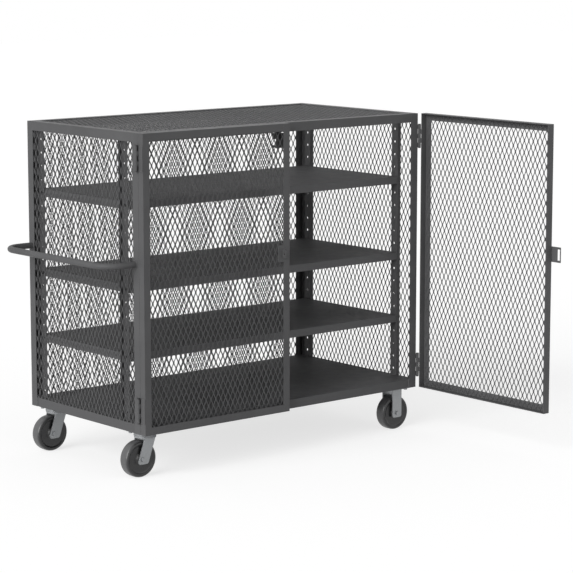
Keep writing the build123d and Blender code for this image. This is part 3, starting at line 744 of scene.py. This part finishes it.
def bead(path, side_a, side_b, leg, closed=False):
    """Points and quads of one bead.

    path is the corner line, and side_a and side_b are the directions of its two faces at each
    station. The section is a quarter circle from a to b of radius leg, plus a root point sunk in
    the corner. The radius is leg * (0.88 + 0.12 |cos(pi s / ripple)|) at the distance s, times
    sqrt(1 - (2 s / length - 1)^8) unless the bead is closed.
    """
    step = np.linalg.norm(np.diff(path, axis=0), axis=1)
    s = np.concatenate([[0], np.cumsum(step)])
    size = leg * (0.88 + 0.12 * np.abs(np.cos(np.pi * s / bead_ripple)))
    if not closed:
        size = size * np.sqrt(1 - (2 * s / s[-1] - 1) ** 8)
    section = side_a[:, None] * section_parts[None, :, :1] + side_b[:, None] * section_parts[None, :, 1:]
    points = path[:, None] + size[:, None, None] * section
    quads = grid_quads(len(path), len(section_parts), closed)
    right_handed = np.dot(np.cross(side_a[0], side_b[0]), path[1] - path[0]) > 0
    return points.reshape(-1, 3), quads[:, ::-1] if right_handed else quads


def straight_bead(start, end, side_a, side_b, leg=3.0):
    """A bead along a straight corner from start to end."""
    start, end = np.array(start, float), np.array(end, float)
    stations = stations_per_ripple * math.ceil(np.linalg.norm(end - start) / bead_ripple) + 1
    path = start + np.linspace(0, 1, stations)[:, None] * (end - start)
    side_a, side_b = (np.tile(np.array(side, float), (stations, 1)) for side in (side_a, side_b))
    return bead(path, side_a, side_b, leg)


def ring_bead(centre, radius, out, leg=3.6):
    """A closed bead round a tube that runs along X from a wall: out is -1 or 1, the way the tube goes."""
    stations = stations_per_ripple * round(2 * np.pi * radius / bead_ripple)
    t = np.arange(stations) * 2 * np.pi / stations
    spokes = np.stack([np.zeros(stations), np.cos(t), np.sin(t)], axis=1)
    along_tube = np.tile([float(out), 0, 0], (stations, 1))
    return bead(np.array(centre) + radius * spokes, spokes, along_tube, leg, closed=True)


def weld_piece(name, beads, body):
    """All the beads of one body as one piece."""
    counts = np.cumsum([0] + [len(points) for points, quads in beads[:-1]])
    points = np.concatenate([points for points, quads in beads])
    faces = np.concatenate([quads + count for (_, quads), count in zip(beads, counts)])
    make_piece(name, points, faces, frame_coat, body, smooth=True)


left, right, front, back = (-1, 0, 0), (1, 0, 0), (0, -1, 0), (0, 1, 0)
up, down = (0, 0, 1), (0, 0, -1)
print("a bead of 40 mm has", len(straight_bead((0, 0, 0), (40, 0, 0), front, up)[0]), "points")

# %% [markdown]
# The deck is welded to the four posts, the handle to the end, and the uprights
# to the deck. Every hinge leaf has a bead along each of its two ends, and the
# frame's leaves have one more along the post. The hasp has three beads.

# %% Beads of the cart
edge_gap = 1.0
upright_inset = 3.0
leaf_height = 100.0
leaf_inset = 6.0
leaf_bead_reach = 18.0
deck_low, deck_high = box_mm("base_deck")
far_low, far_high = box_mm("rear_right_post")
wall = deck_low[0] - post_low[0]
cart_beads = []
for x, inward in ((post_high[0], right), (far_low[0], left)):
    for y, outward in ((deck_low[1], front), (deck_high[1], back)):
        cart_beads.append(straight_bead((x, y, deck_low[2]), (x, y, deck_high[2]), outward, inward, wall))
for y, inward in ((post_high[1], back), (far_low[1], front)):
    for x, outward in ((deck_low[0], left), (deck_high[0], right)):
        cart_beads.append(straight_bead((x, y, deck_low[2]), (x, y, deck_high[2]), outward, inward, wall))

handle_low, handle_high = box_mm("push_handle")
tube_radius = (handle_high[2] - handle_low[2]) / 2
for y in (handle_low[1] + tube_radius, handle_high[1] - tube_radius):
    tube_end = (handle_high[0], y, (handle_low[2] + handle_high[2]) / 2)
    cart_beads.append(ring_bead(tube_end, tube_radius, -1))

leaf_low, leaf_high = box_mm("frame_hinge_leaves")
leaf_rows = ((leaf_low[2], leaf_low[2] + leaf_height), (leaf_high[2] - leaf_height, leaf_high[2]))
leaf_y = leaf_high[1]
for x, outward in ((post_low[0], left), (far_high[0], right)):
    for z_low, z_high in leaf_rows:
        start, end = (x, leaf_y, z_low + leaf_inset), (x, leaf_y, z_high - leaf_inset)
        cart_beads.append(straight_bead(start, end, outward, back))
        for z, away in ((z_low, down), (z_high, up)):
            start, end = (x, leaf_y - leaf_bead_reach, z), (x, leaf_y - edge_gap, z)
            cart_beads.append(straight_bead(start, end, outward, away))
for corner in ("front_left", "rear_left", "front_right", "rear_right"):
    low, high = box_mm(corner + "_upright")
    x, inward = (high[0], right) if "left" in corner else (low[0], left)
    start, end = (x, low[1] + upright_inset, deck_high[2]), (x, high[1] - upright_inset, deck_high[2])
    cart_beads.append(straight_bead(start, end, inward, up))
weld_piece("cart_weld_beads", cart_beads, "cart")

# %% Beads of the doors
door_bead_start = 2.0
hasp_inset = 3.0
leaf_ends = [(z, away) for leaf_row in leaf_rows for z, away in zip(leaf_row, (down, up))]

(x, y, _), _ = box_mm("left_door_hinge_stile")
left_beads = []
for z, away in leaf_ends:
    start, end = (x, y + door_bead_start, z), (x, y + leaf_bead_reach, z)
    left_beads.append(straight_bead(start, end, left, away))
weld_piece("left_door_weld_beads", left_beads, "left_door")

hasp_low, hasp_high = box_mm("right_door_hasp")
lock_low, _ = box_mm("right_door_lock_stile")
x, y = hasp_low[0], hasp_high[1]
start, end = (x, y, hasp_low[2] + hasp_inset), (x, y, hasp_high[2] - hasp_inset)
right_beads = [straight_bead(start, end, right, back)]
for z, away in ((hasp_low[2], down), (hasp_high[2], up)):
    start, end = (x, lock_low[1] + hasp_inset, z), (x, y - edge_gap, z)
    right_beads.append(straight_bead(start, end, right, away))
_, (x, y, _) = box_mm("right_door_hinge_stile")
for z, away in leaf_ends:
    start, end = (x - leaf_bead_reach, y, z), (x - door_bead_start, y, z)
    right_beads.append(straight_bead(start, end, back, away))
weld_piece("right_door_weld_beads", right_beads, "right_door")
